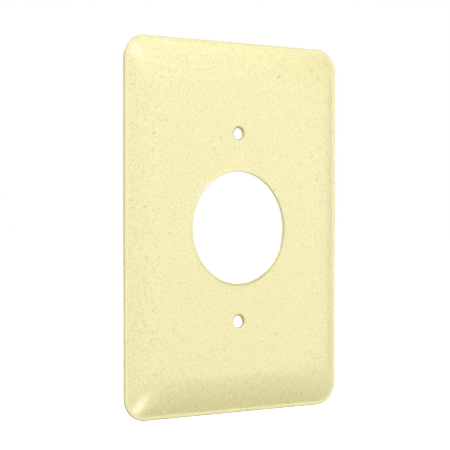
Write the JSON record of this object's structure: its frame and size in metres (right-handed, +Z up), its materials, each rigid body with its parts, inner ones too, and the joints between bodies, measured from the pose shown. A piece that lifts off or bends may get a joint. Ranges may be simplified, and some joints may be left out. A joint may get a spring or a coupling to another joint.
{
  "type": "wall plate cover",
  "caption": "Oversize single-gang steel wall plate for one round receptacle, with its oval-head screws taped to the back.",
  "frame": {"origin": "centre of the round device opening, on the flat front face", "axes": "+X along the plate's width, +Z up its height, front face towards -Y, wall side towards +Y"},
  "size_m": [0.0834, 0.0074, 0.1192],
  "materials": {
    "textured_ivory_paint": "finely textured satin paint",
    "painted_screw": "satin painted head on a zinc-plated thread",
    "clear_tape": "clear glossy film"
  },
  "bodies": {
    "plate": {"wall_plate": "textured_ivory_paint", "screw_tape": "clear_tape"},
    "screw_1": {"mounting_screw_1": "painted_screw"},
    "screw_2": {"mounting_screw_2": "painted_screw"}
  },
  "joints": [
    {"name": "screw_1_draw", "type": "slide", "parent": "plate", "child": "screw_1", "axis": [0, 0, 1], "range_m": [0, 0.015]},
    {"name": "screw_2_draw", "type": "slide", "parent": "plate", "child": "screw_2", "axis": [0, 0, 1], "range_m": [0, 0.015]}
  ]
}
